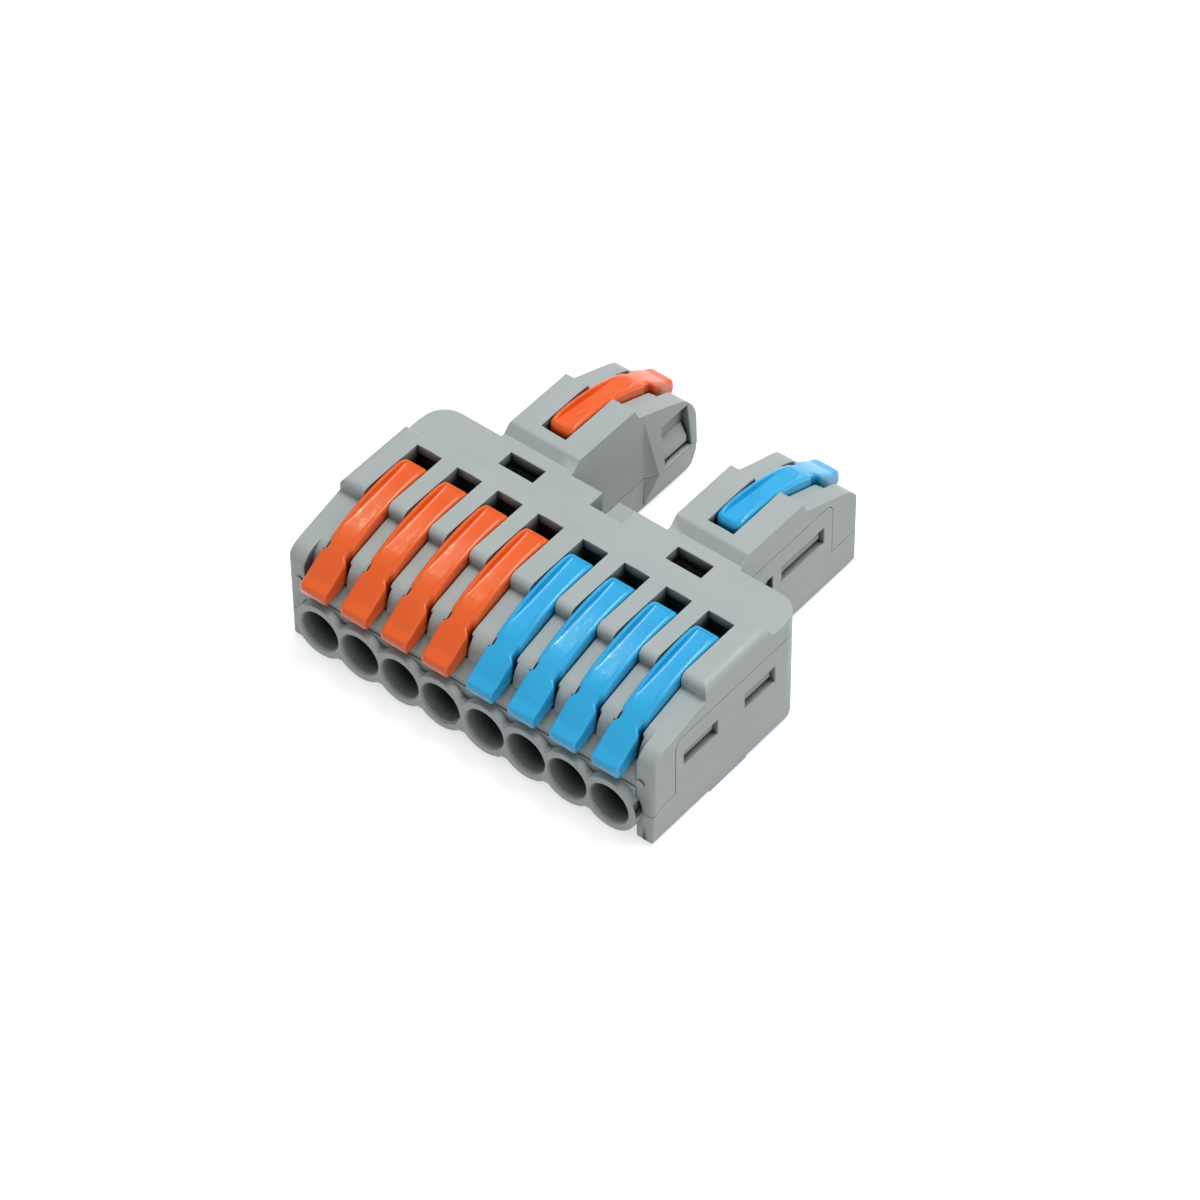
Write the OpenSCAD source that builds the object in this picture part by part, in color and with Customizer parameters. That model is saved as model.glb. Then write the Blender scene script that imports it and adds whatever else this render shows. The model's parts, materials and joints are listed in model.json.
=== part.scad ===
// Lever wire connector: two inputs at the back feed eight outputs along the front, in two groups of four.
// Lengths are in millimetres. X runs along the row of outputs, Y from the outputs to the inputs, Z up.

/* [Housing] */
// Distance between neighbouring output poles
pitch = 5.6; // [5.5:0.05:5.8]
// Extra space between the two groups of outputs
group_gap = 0.48; // [0.3:0.02:1]
// Wall outside the last pole, measured from the edge of its pitch
end_wall = 2.22; // [2.1:0.02:2.6]
// Depth of the main block, front face to back face
main_l = 25.5; // [25.2:0.1:27]
// Height of the back deck over the underside
deck_h = 15.12; // [15:0.02:15.3]
// Height of the raised lever block over the underside
top_h = 16.42; // [16.2:0.02:16.6]
// Height of the line where base and cover meet
seam_h = 4.65; // [4.5:0.05:4.8]
// Slope of the cover in front of the raised block, in degrees
front_slope = 14.4; // [14:0.2:15]
// Width of each input block
input_w = 9.77; // [9.5:0.05:10.2]
// Distance of the input blocks' back face from the main front face
input_back = 46.5; // [46.3:0.1:47]
// Height of the feet under the housing
foot_h = 0.45; // [0.3:0.05:0.8]

/* [Wire entries] */
// Radius of the bore that takes the insulated wire
entry_r = 2.55; // [2.3:0.05:2.6]
// Outer radius of the collar around each entry
collar_r = 3.5; // [3.2:0.05:3.55]
// How far the collars stand out of the housing
collar_out = 1.2; // [0.8:0.1:1.5]
// Height of the entries' centres over the underside
entry_h = 3.96; // [3.9:0.02:4.1]
// Length of the straight part of each output bore
entry_l = 7.6; // [6:0.1:8]

/* [Levers] */
// Width of a lever's arm
lever_w = 3.25; // [3:0.05:3.3]
// Width of a lever's thumb tip
tip_w = 3.54; // [3.3:0.02:3.6]
// Width of the neck behind the tip
neck_w = 2.62; // [2.4:0.02:3]
// Width of the slot that a lever works in
slot_w = 3.47; // [3.4:0.01:3.6]
// Radius of the stub axles
axle_r = 1.1; // [0.9:0.05:1.2]
// Radial clearance of the axles and of the axle bores
axle_fit = 0.05; // [0.03:0.01:0.08]

/* [Contacts] */
// Thickness of the copper busbars
bar_t = 0.9; // [0.6:0.1:0.9]
// Width of the clamping springs
spring_w = 3.8; // [3:0.1:4.2]
// Thickness of the spring strip
spring_t = 0.4; // [0.3:0.05:0.5]

/* [Hidden] */
$fn = 48;
arc_steps = 6;
over = 1;                   // how far a cut runs past the face it opens
gap = 0.08;                 // fit between the two shells

// Colours
grey_c = [0.72, 0.75, 0.75];
orange_c = [0.92, 0.40, 0.18];
blue_c = [0.22, 0.68, 0.91];
copper_c = [0.80, 0.76, 0.70];
steel_c = [0.62, 0.63, 0.65];

// Places along the row
per_group = 4;
half_w = group_gap / 2 + per_group * pitch + end_wall;
out_x = [for (i = [0 : 2 * per_group - 1])
    (i < per_group ? -1 : 1) * group_gap / 2 + (i - per_group + 0.5) * pitch];
in_x = group_gap / 2 + 2 * pitch;

// Levers, in each pole's own frame: u runs from the pivot towards the wire entry, z up
pivot_z = 11.4;
pivot_drop_in = 0.25;       // the input pivots lie this much lower
pivot_out_y = 11.4;
pivot_in_y = 33.9;
top_c = [-2.5, -18.4];      // centre of the arched top, from the pivot
top_r = 23.7;
arm_t = 2.6;
heel_c = [-3.2, 3.85];
heel_r = 1.35;
hub_r = 3.3;
tip_u = 13.6;               // furthest reach of the tip
crease_u = 12.1;
nose_r = 0.55;
tip_under = [[12.75, -2.05], [9.3, -0.95]];
neck_u = [8.15, 8.6, 9.25, 9.55];
scoop_w = 2.15;
scoop_ends = [[-3.95, 4.95], [6.6, 3.38]];
stub_l = 0.9;
tip_corner_r = 0.7;
nose_v = -0.85;

// Slots and cells, in the same frame
slot_back = 6.4;
slot_back_in = 5.37;
cell_w = 4.6;
cell_u = [-7, 2.9];
cell_top = 9.4;
tip_gap = 0.25;
slot_tip_w = 4.05;
slot_tip_u = 9;             // from here on the slot is wide enough for the tip
well_u = 7.15;              // centre and radius of the ribs' rounded fronts beside the tips
well_r = 2.9;
well_foot = -1.45;
well_lip = -3.5;

// Shells
floor_t = 1.3;
panel_t = 1.1;
panel_y = 3.8;
panel_h = 12.45;
panel_in_h = 12.1;
panel_in_y = 41.8;
panel_r = 1.2;
panel_root = 0.3;           // how far the panels reach down into the base
corner_r = 3;
front_corner_r = 0.5;
face_y = -0.15;
brow_r = 2.6;
brow_h = 10.38;
raised_y = [8.75, 19.2];
raised_r = 0.97;
raised_back = 1;            // the block's back slopes down over this length
raised_end_r = 1;
draft = 0.15;               // how far the base's sides lean in at the underside
entry_block_h = 7.48;
entry_block_w = 22.6;
cover_over_entry = 7.53;
base_front_y = 1.8;          // the base's underside starts this far back, behind the collars
input_front = [0.4, 1.5];   // slope up to the input block's top, from the main block's back face
input_top = [11, 11.7];     // and down to its lower step
input_corner_r = [0.5, 0.6];
input_h = 16.15;
input_step_h = 14.6;
input_slope = 21.5;
input_round_r = 4;
input_round_h = 8.2;

// The whole part stands on its feet, centred under its own outline
tip_back = pivot_in_y + tip_u;
tip_front = pivot_out_y - tip_u;
shift = [0, -(tip_back + tip_front) / 2, foot_h];

function arc(c, r, from, to, n = arc_steps) =
    [for (i = [0 : n]) let (a = from + (to - from) * i / n) [c[0] + r * cos(a), c[1] + r * sin(a)]];

// Height of a circle's upper side at u
function arch(c, r, u) = c[1] + sqrt(r * r - (u - c[0]) * (u - c[0]));

// Extrudes an outline drawn in Y and Z from x0 to x1
module along_x(x0, x1) {
    translate([x0, 0, 0]) rotate([90, 0, 90]) linear_extrude(x1 - x0) children();
}

// Extrudes an outline drawn in X and Z from y0 to y1
module along_y(y0, y1) {
    translate([0, y1, 0]) rotate([90, 0, 0]) linear_extrude(y1 - y0) children();
}

module box(low, high) { translate(low) cube(high - low); }

module both_sides() { for (s = [0, 1]) mirror([s, 0, 0]) children(); }

// Places a child drawn in a pole's frame
module at_output(i) { translate([out_x[i], pivot_out_y, 0]) mirror([0, 1, 0]) children(); }
module at_input(side) { translate([side * in_x, pivot_in_y, 0]) children(); }

// ---- Levers ----

module lever_side() {
    top_from = atan2(arch(top_c, top_r, crease_u) - top_c[1], crease_u - top_c[0]);
    top_to = atan2(arch(top_c, top_r, heel_c[0]) - top_c[1], heel_c[0] - top_c[0]);
    under_from = atan2(arch(top_c, top_r - arm_t, 3) - top_c[1], 3 - top_c[0]);
    under_to = atan2(arch(top_c, top_r - arm_t, 9) - top_c[1], 9 - top_c[0]);
    polygon(concat(
        arc(top_c, top_r, top_from, top_to, 14),
        arc(heel_c, heel_r, 92, 190),
        arc([0, 0], hub_r, 165, 300, 10),
        arc(top_c, top_r - arm_t, under_from, under_to, 8),
        [tip_under[1]],
        arc([tip_under[0][0], tip_under[0][1] + nose_r], nose_r, 255, 330, 4),
        arc([tip_u - nose_r, nose_v], nose_r, 0, 65, 4)));
}

module lever_plan() {
    half = [for (p = [[neck_u[0], lever_w], [neck_u[1], neck_w], [neck_u[2], neck_w], [neck_u[3], tip_w]])
        [p[1] / 2, p[0]]];
    tip = arc([tip_w / 2 - tip_corner_r, tip_u - tip_corner_r], tip_corner_r, 0, 90, 4);
    side = concat([[lever_w / 2, -tip_u]], half, tip);
    polygon(concat(side, [for (i = [len(side) - 1 : -1 : 0]) [-side[i][0], side[i][1]]]));
}

module lever_scoop() {
    run = scoop_ends[1] - scoop_ends[0];
    translate([-scoop_w / 2, scoop_ends[0][0], scoop_ends[0][1]])
        rotate([atan2(run[1], run[0]), 0, 0]) cube([scoop_w, norm(run), 2]);
}

// One lever in its pole's frame, closed, with the pivot at the origin
module lever(colour) {
    color(colour) {
        difference() {
            intersection() {
                along_x(-tip_w, tip_w) lever_side();
                translate([0, 0, -tip_u]) linear_extrude(2 * tip_u) lever_plan();
            }
            lever_scoop();
        }
        translate([-lever_w / 2 - stub_l, 0, 0]) rotate([0, 90, 0])
            cylinder(r = axle_r, h = lever_w + 2 * stub_l);
    }
}

module output_lever(i) {
    translate(shift) at_output(i) translate([0, 0, pivot_z]) lever(i < per_group ? orange_c : blue_c);
}

module input_lever(side) {
    translate(shift) at_input(side) translate([0, 0, pivot_z - pivot_drop_in])
        lever(side < 0 ? orange_c : blue_c);
}

// ---- Contacts ----

spring_c = [-4.5, 5.6];
spring_r = 2;
spring_from = 210;
spring_to = 40;
leg_l = 5.2;
foot_l = 2.1;

// Clamping spring: a foot on the busbar, a loop, and a leg that comes down on the wire
module spring_side() {
    half = spring_t / 2;
    leg = leg_l * [sin(spring_to), -cos(spring_to)];
    foot = foot_l * [cos(spring_from + 90), sin(spring_from + 90)];
    outer = arc(spring_c, spring_r + half, spring_from, spring_to, 12);
    inner = arc(spring_c, spring_r - half, spring_to, spring_from, 12);
    polygon(concat([outer[0] + foot], outer, [outer[12] + leg], [inner[0] + leg], inner, [inner[12] + foot]));
}

module spring() {
    color(steel_c) along_x(-spring_w / 2, spring_w / 2) spring_side();
}

module output_spring(i) { translate(shift) at_output(i) spring(); }
module input_spring(side) { translate(shift) at_input(side) spring(); }

bar_u = [-6.2, 1.8];
bar_end = 0.7;
tongue_w = 4;

// One group's busbar: a plate under the four outputs, and a tongue back to the input
module busbar(side) {
    x = [group_gap / 2 + bar_end, group_gap / 2 + per_group * pitch - bar_end];
    color(copper_c) translate(shift) mirror([side < 0 ? 1 : 0, 0, 0]) {
        box([x[0], pivot_out_y - bar_u[1], floor_t], [x[1], pivot_out_y - bar_u[0], floor_t + bar_t]);
        box([in_x - tongue_w / 2, pivot_out_y, floor_t],
            [in_x + tongue_w / 2, pivot_in_y + bar_u[1], floor_t + bar_t]);
    }
}

// ---- Housing outlines ----

// Plan of the main block, drawn in by some distance from its sides and back
module main_plan(inset = 0) {
    x = half_w - inset;
    polygon(concat(
        arc([-x + front_corner_r, front_corner_r], front_corner_r, 180, 270),
        arc([x - front_corner_r, front_corner_r], front_corner_r, 270, 360),
        arc([half_w - corner_r, main_l - corner_r], corner_r - inset, 0, 90),
        arc([-half_w + corner_r, main_l - corner_r], corner_r - inset, 90, 180)));
}

module input_plan() {
    low = [in_x - input_w / 2, main_l - over];
    high = [in_x + input_w / 2, input_back];
    r = input_corner_r;
    polygon(concat([low], arc([high[0] - r[0], low[1] + r[0]], r[0], 270, 360),
        arc(high - [r[1], r[1]], r[1], 0, 90), [[low[0], high[1]]]));
}

// The slope of the front starts here, over the brow
brow_end = [face_y + brow_r * (1 - sin(front_slope)), brow_h + brow_r * cos(front_slope)];

module deck_side() {
    run = (deck_h - brow_end[1]) / tan(front_slope);
    polygon(concat([[face_y, seam_h - seam_v[1]]],
        arc([face_y + brow_r, brow_h], brow_r, 180, 90 + front_slope),
        [[brow_end[0] + run, deck_h], [main_l, deck_h], [main_l, seam_h + gap], [seam_v[0], seam_h + gap]]));
}

module raised_side() {
    polygon(concat([[raised_y[0], brow_h]],
        arc([raised_y[0] + raised_r, top_h - raised_r], raised_r, 180, 90),
        [[raised_y[1], top_h], [raised_y[1] + raised_back, deck_h], [raised_y[1] + raised_back, brow_h]]));
}

module input_side() {
    round_c = [input_back - input_round_r, input_round_h];
    polygon(concat([[main_l - over, seam_h + gap], [main_l - over, deck_h], [main_l + input_front[0], deck_h],
        [main_l + input_front[1], input_h], [main_l + input_top[0], input_h],
        [main_l + input_top[1], input_step_h]],
        arc(round_c, input_round_r, 90 - input_slope, 0, 8), [[input_back, seam_h + gap]]));
}

// ---- Features in a pole's frame ----

// Room for a lever, from its cell up through the cover, with a ledge under the arm and the tip
module slot_side(back, drop) {
    z = pivot_z - drop;
    floor_r = top_r - arm_t - tip_gap;
    floor_at = function (u) atan2(arch(top_c, floor_r, u) - top_c[1], u - top_c[0]);
    fall = (tip_under[0][1] - tip_under[1][1]) / (tip_under[0][0] - tip_under[1][0]);
    hub_end = hub_r + 0.6;
    front = tip_u + over;
    polygon(concat(
        [[-back, top_h + over], [-back, deck_h], [cell_u[0], deck_h], [cell_u[0], cell_top - over],
         [hub_end, cell_top - over]],
        [for (p = arc(top_c, floor_r, floor_at(hub_end), floor_at(tip_under[1][0] - nose_r), 5)) p + [0, z]],
        [[tip_under[1][0], z + tip_under[1][1] - tip_gap],
         [front, z + tip_under[1][1] - tip_gap + fall * (front - tip_under[1][0])],
         [front, top_h + over]]));
}

module slot(back, drop) {
    z = pivot_z - drop;
    bore_l = lever_w + 2 * stub_l + 0.2;
    along_x(-slot_w / 2, slot_w / 2) slot_side(back, drop);
    along_x(-slot_tip_w / 2, slot_tip_w / 2) intersection() {
        slot_side(back, drop);
        translate([slot_tip_u, 0]) square([tip_u, top_h + over]);
    }
    translate([-bore_l / 2, 0, z]) rotate([0, 90, 0]) cylinder(r = axle_r + axle_fit, h = bore_l);
    box([-bore_l / 2, -throat * axle_r, seam_h - over], [bore_l / 2, throat * axle_r, z]);
    box([-cell_w / 2, cell_u[0], seam_h - over], [cell_w / 2, cell_u[1], cell_top]);
}

// Open well round the lever tips, where a fingertip gets under them. Its round back starts level with
// the surface, which lies at surface_h over the centre of the round and falls by slope.
module well(z, half_x, face_u, surface_h, slope) {
    centre = [well_u, surface_h - well_r / cos(slope)];
    along_x(-half_x, half_x) polygon(concat(
        arc(centre, well_r, 90 - slope, 0, 8),
        [[well_u + well_r, z + well_foot], [face_u, z + well_lip], [face_u + 2 * over, z + well_lip],
         [face_u + 2 * over, top_h], [well_u, top_h]]));
}

// Wire entry: lead-in, straight bore and the funnel that steers the conductor into the clamp
module entry_bore(mouth_u) {
    straight_u = pivot_out_y + collar_out - lead - entry_l;
    translate([0, 0, entry_h]) rotate([-90, 0, 0]) {
        translate([0, 0, mouth_u - lead]) cylinder(r1 = entry_r, r2 = entry_r + lead / 2, h = lead);
        translate([0, 0, mouth_u]) cylinder(r = entry_r + lead / 2, h = over);
        translate([0, 0, straight_u]) cylinder(r = entry_r, h = mouth_u - lead - straight_u);
        translate([0, 0, straight_u - funnel]) cylinder(r1 = conductor_r, r2 = entry_r, h = funnel);
        translate([0, 0, cell_u[1] - over]) cylinder(r = conductor_r, h = straight_u - cell_u[1]);
    }
}

module collar(mouth_u, fit = 0) {
    translate([0, cell_u[1], entry_h]) rotate([-90, 0, 0])
        cylinder(r = collar_r + fit, h = mouth_u - cell_u[1]);
}

// Web that fills the notch between two neighbouring collars, with a hollow of its own radius
module web(spacing, r) {
    reach = collar_r - web_sink + r;
    centre = [spacing / 2, sqrt(reach * reach - spacing * spacing / 4)];
    turn = atan2(centre[1], centre[0]);
    polygon(concat(arc(centre, r, 180 + turn, 360 - turn, 8), [[spacing / 2, 0]]));
}

module webs() {
    for (i = [0 : len(out_x) - 2]) translate([out_x[i], 0, entry_h]) along_y(web_sink - collar_out, base_front_y) {
        web(out_x[i + 1] - out_x[i], web_r[0]);
        mirror([0, 1]) web(out_x[i + 1] - out_x[i], web_r[1]);
    }
}

out_mouth_u = pivot_out_y + collar_out;
in_mouth_u = input_back + collar_out - pivot_in_y;
in_entry_w = 3.4;
conductor_r = 1.7;
lead = 0.3;
funnel = 0.9;
web_r = [0.8, 2];           // over and under the collars' middle
web_sink = 0.1;             // how far the webs end inside the collars
throat = 0.85;              // width of the snap-in slot under each axle bore, over the axle's
seam_v = [1.6, 0.7];        // the seam dips like this at the front corners

// ---- Panels that stand up from the base and snap over the cover ----

// Snap windows on each side: [y from, y to, z from, z to]
main_windows = [[5.16, 10.87, 7.8, 9.95], [15.47, 20.62, 7.6, 9.92]];
input_windows = [[26.5, 31.3, 7.5, 9.4], [32.9, 40.4, 7.15, 9.5]];
barb_out = 0.6;
barb_fit = 0.15;
barb_lip = 0.4;

module panel_side(low_y, high_y, high_z, front_r, back_r, fit) {
    r = [front_r + fit, back_r + fit];
    polygon(concat([[low_y - fit, seam_h - panel_root], [high_y + fit, seam_h - panel_root]],
        arc([high_y + fit - r[1], high_z + fit - r[1]], r[1], 0, 90),
        arc([low_y - fit + r[0], high_z + fit - r[0]], r[0], 90, 180)));
}

// The rim round the main block's sides and back, or with a fit the room for it in the cover
module rim(fit = 0) {
    intersection() {
        along_x(-half_w - over, half_w + over) panel_side(panel_y, main_l + over, panel_h, panel_r, 0.1, fit);
        difference() {
            linear_extrude(top_h) main_plan(fit > 0 ? -over : 0);
            translate([0, 0, -over]) linear_extrude(top_h + 2 * over) main_plan(panel_t + fit);
        }
    }
}

module input_panel(fit = 0) {
    x = in_x + input_w / 2;
    out = fit > 0 ? over : 0;
    both_sides() along_x(x - panel_t - fit, x + out)
        panel_side(main_l - panel_r, panel_in_y, panel_in_h, 0.1, panel_r, fit);
}

module window(x, w) {
    both_sides() box([x - panel_t - over, w[0], w[2]], [x + over, w[1], w[3]]);
}

module barb(x, w) {
    low = w[2] + barb_fit;
    high = w[3] - barb_fit;
    both_sides() translate([x - panel_t - gap, 0, 0]) along_y(w[0] + barb_fit, w[1] - barb_fit)
        polygon([[-barb_out, high], [0, high], [barb_out, (low + high) / 2], [barb_out, low + barb_lip],
            [0, low], [-barb_out, low]]);
}

// Swelling on each input block's inner side, widest at the seam
bulge_out = 1;
bulge_y = 38;
bulge_z = [0.5, 4.75, 13.4];
pocket = [40.6, 45.2, 5, 10.6];
pocket_in = 0.5;
pocket_fit = 0.3;

module bulge() {
    root = 0.4;
    rise = 1.4;
    translate([in_x - input_w / 2, 0, 0]) intersection() {
        along_y(bulge_y, input_back) polygon([[root, bulge_z[2]], [0, bulge_z[2]], [-bulge_out, bulge_z[1]],
            [0, bulge_z[0]], [root, bulge_z[0]]]);
        linear_extrude(top_h) polygon([[root, bulge_y], [0, bulge_y], [-bulge_out, bulge_y + rise],
            [-bulge_out, input_back - root], [root - bulge_out, input_back], [root, input_back]]);
    }
}

// ---- Shells ----

notch_w = 4.4;
notch_l = 2.2;
lug = [4.2, 28.2, 11.6];
test_slot = [4.76, 22, 24.17];
test_step = 0.4;
deck_t = 1.4;
core_x = [[1.4, 8.2], [14.6, 21.6]];
core_y = [19.4, 23.8];
core_top = 13.6;
main_foot = [2.8, 9.8, 16.1];
input_foot = [5.6, 38.2, 43.4];

// Opening for a test probe, wider under the deck than through it
module test_chute(from_z, to_z, wider = 0) {
    w = test_slot[0] / 2 + wider;
    box([in_x - w, test_slot[1] - wider, from_z], [in_x + w, test_slot[2] + wider, to_z]);
}

module cover_solid() {
    intersection() {
        linear_extrude(top_h) main_plan();
        along_x(-half_w, half_w) deck_side();
    }
    intersection() {
        along_x(-half_w, half_w) raised_side();
        along_y(raised_y[0], raised_y[1] + raised_back) polygon(concat(
            [[-half_w, brow_h], [half_w, brow_h]],
            arc([half_w - raised_end_r, top_h - raised_end_r], raised_end_r, 0, 90),
            arc([-half_w + raised_end_r, top_h - raised_end_r], raised_end_r, 90, 180)));
    }
    both_sides() {
        intersection() {
            union() {
                linear_extrude(top_h) input_plan();
                bulge();
            }
            along_x(0, half_w) input_side();
        }
    }
}

module cover_shell() {
    color(grey_c) translate(shift) {
        difference() {
            cover_solid();
            box([-entry_block_w, -over, 0], [entry_block_w, pivot_out_y - cell_u[1], cover_over_entry]);
            both_sides() translate([in_x, 0, 0])
                box([-in_entry_w, pivot_in_y + cell_u[1], 0],
                    [in_entry_w, input_back + over, cover_over_entry]);
            rim(gap);
            input_panel(gap);
            for (i = [0 : len(out_x) - 1]) at_output(i) {
                slot(slot_back, 0);
                collar(out_mouth_u, gap);
            }
            for (side = [-1, 1]) at_input(side) {
                slot(slot_back_in, pivot_drop_in);
                collar(in_mouth_u, gap);
                well(pivot_z - pivot_drop_in, pitch / 2, in_mouth_u - collar_out,
                    input_step_h - (pivot_in_y + well_u - main_l - input_top[1]) * tan(input_slope),
                    input_slope);
            }
            translate([0, pivot_out_y, 0]) mirror([0, 1, 0])
                well(pivot_z, half_w - end_wall, pivot_out_y - face_y,
                    brow_end[1] + (pivot_out_y - well_u - brow_end[0]) * tan(front_slope), front_slope);
            box([-notch_w / 2, main_l - notch_l, 0], [notch_w / 2, main_l + over, top_h]);
            both_sides() {
                test_chute(0, top_h);
                test_chute(0, deck_h - deck_t, test_step);
                for (x = core_x) box([x[0], core_y[0], 0], [x[1], core_y[1], core_top]);
                box([in_x - input_w / 2 - bulge_out - over, pocket[0], pocket[2]],
                    [in_x - input_w / 2 + pocket_in, pocket[1], pocket[3]]);
            }
        }
        for (w = main_windows) barb(half_w, w);
        for (w = input_windows) barb(in_x + input_w / 2, w);
        both_sides() translate([in_x - input_w / 2 + pocket_in, 0, pocket[2]])
            along_y(pocket[0] + pocket_fit, pocket[1] - pocket_fit)
                polygon([[0.1, 3.2], [-0.2, 3], [-1, 1.4], [-1, 0.5], [0.1, pocket_fit]]);
    }
}

// Leans the sides of the base in towards its underside
module drafted(x, y) {
    intersection() {
        children();
        along_y(-over, input_back + over) polygon([[x[0] + draft, 0], [x[1] - draft, 0],
            [x[1], seam_h], [x[1], top_h], [x[0], top_h], [x[0], seam_h]]);
        along_x(-half_w - over, half_w + over) polygon([[-over, 0], [y - draft, 0], [y, seam_h],
            [y, top_h], [-over, top_h]]);
    }
}

module base_solid() {
    drafted([-half_w, half_w], main_l) difference() {
        linear_extrude(seam_h) main_plan();
        box([-entry_block_w, -over, -over], [entry_block_w, base_front_y, top_h]);
    }
    both_sides() {
        drafted([in_x - input_w / 2, in_x + input_w / 2], input_back) linear_extrude(seam_h) input_plan();
        intersection() {
            bulge();
            box([0, bulge_y, 0], [in_x, input_back, seam_h]);
        }
        translate([in_x, 0, 0])
            box([-in_entry_w + gap, pivot_in_y + cell_u[1] + gap, 0],
                [in_entry_w - gap, input_back, entry_block_h]);
        box([half_w - main_foot[0], main_foot[1], -foot_h], [half_w - draft, main_foot[2], over]);
        translate([in_x, 0, 0])
            box([-input_foot[0] / 2, input_foot[1], -foot_h], [input_foot[0] / 2, input_foot[2], over]);
    }
    box([-entry_block_w + gap, face_y, entry_h],
        [entry_block_w - gap, pivot_out_y - cell_u[1] - gap, entry_block_h]);
    webs();
    for (i = [0 : len(out_x) - 1]) at_output(i) collar(out_mouth_u);
    for (side = [-1, 1]) at_input(side) collar(in_mouth_u);
    rim();
    input_panel();
    box([-lug[0] / 2, main_l - panel_t, 0], [lug[0] / 2, lug[1], lug[2]]);
}

module base_shell() {
    group_x = [group_gap / 2 + bar_end - gap, group_gap / 2 + per_group * pitch - bar_end + gap];
    color(grey_c) translate(shift) difference() {
        base_solid();
        for (i = [0 : len(out_x) - 1]) at_output(i) {
            entry_bore(out_mouth_u);
            box([-cell_w / 2, cell_u[0], floor_t], [cell_w / 2, cell_u[1] + gap, top_h]);
        }
        for (side = [-1, 1]) at_input(side) {
            entry_bore(in_mouth_u);
            box([-cell_w / 2, cell_u[0], floor_t], [cell_w / 2, cell_u[1] + gap, top_h]);
        }
        both_sides() {
            box([group_x[0], pivot_out_y - bar_u[1] - gap, floor_t],
                [group_x[1], pivot_out_y - bar_u[0] + gap, floor_t + bar_t + gap]);
            box([in_x - tongue_w / 2 - gap, pivot_out_y, floor_t],
                [in_x + tongue_w / 2 + gap, pivot_in_y, floor_t + bar_t + gap]);
            for (x = core_x) box([x[0], core_y[0], floor_t], [x[1], core_y[1], top_h]);
            // the V in the seam at the front corners
            along_x(entry_block_w, half_w + over)
                polygon([[-over, seam_h - seam_v[1] - gap], [0, seam_h - seam_v[1] - gap],
                    [seam_v[0], seam_h], [seam_v[0], seam_h + over], [-over, seam_h + over]]);
            test_chute(floor_t, top_h, test_step);
        }
        box([-notch_w / 2, main_l - notch_l, lug[2]], [notch_w / 2, main_l + over, top_h]);
        for (w = main_windows) window(half_w, w);
        for (w = input_windows) window(in_x + input_w / 2, w);
    }
}

base_shell();
cover_shell();
busbar(-1);  // busbar_orange
busbar(1);  // busbar_blue
for (i = [0 : len(out_x) - 1]) {
    output_lever(i);
    output_spring(i);
}
input_lever(-1);  // input_lever_orange
input_lever(1);  // input_lever_blue
input_spring(-1);  // input_spring_orange
input_spring(1);  // input_spring_blue
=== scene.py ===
import json
import math

import bmesh
import bpy
from mathutils import Matrix, Vector
from mathutils.bvhtree import BVHTree
from mathutils.geometry import intersect_line_line_2d, intersect_point_line
from mathutils.kdtree import KDTree


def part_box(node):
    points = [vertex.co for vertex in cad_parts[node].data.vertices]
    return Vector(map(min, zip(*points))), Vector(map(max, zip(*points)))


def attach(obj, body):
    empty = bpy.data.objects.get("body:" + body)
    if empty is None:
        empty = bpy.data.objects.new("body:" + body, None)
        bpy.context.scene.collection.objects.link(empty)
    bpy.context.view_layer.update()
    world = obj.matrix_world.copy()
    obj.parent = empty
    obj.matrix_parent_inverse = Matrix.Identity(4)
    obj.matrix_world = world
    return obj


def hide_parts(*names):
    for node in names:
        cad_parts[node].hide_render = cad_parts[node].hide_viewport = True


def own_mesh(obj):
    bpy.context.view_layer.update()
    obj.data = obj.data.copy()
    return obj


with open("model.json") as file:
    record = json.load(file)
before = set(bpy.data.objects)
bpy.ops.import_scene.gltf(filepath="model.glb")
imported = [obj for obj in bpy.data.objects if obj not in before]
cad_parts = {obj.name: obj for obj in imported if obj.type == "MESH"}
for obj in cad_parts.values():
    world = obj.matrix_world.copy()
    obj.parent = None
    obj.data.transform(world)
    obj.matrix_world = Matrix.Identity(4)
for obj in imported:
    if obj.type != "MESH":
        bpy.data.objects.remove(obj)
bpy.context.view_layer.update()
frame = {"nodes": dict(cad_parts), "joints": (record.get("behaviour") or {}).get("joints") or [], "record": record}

mm = 0.001
ribReach = (-19.5 * mm, -17 * mm)  # along the part, where the milled marks fade out
record = frame["record"]
joints = {joint["child"]: joint for joint in frame["joints"]}


# shader maths

class Value:  # a node's output that can be used in sums
    def __init__(self, finish, socket):
        self.finish = finish
        self.socket = socket

    def maths(self, operation, first, second):
        return self.finish.node("ShaderNodeMath", {"operation": operation}, {0: first, 1: second})

    def __add__(self, other):
        return self.maths("ADD", self, other)

    __radd__ = __add__

    def __sub__(self, other):
        return self.maths("SUBTRACT", self, other)

    def __rsub__(self, other):
        return self.maths("SUBTRACT", other, self)

    def __mul__(self, other):
        return self.maths("MULTIPLY", self, other)

    __rmul__ = __mul__


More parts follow.
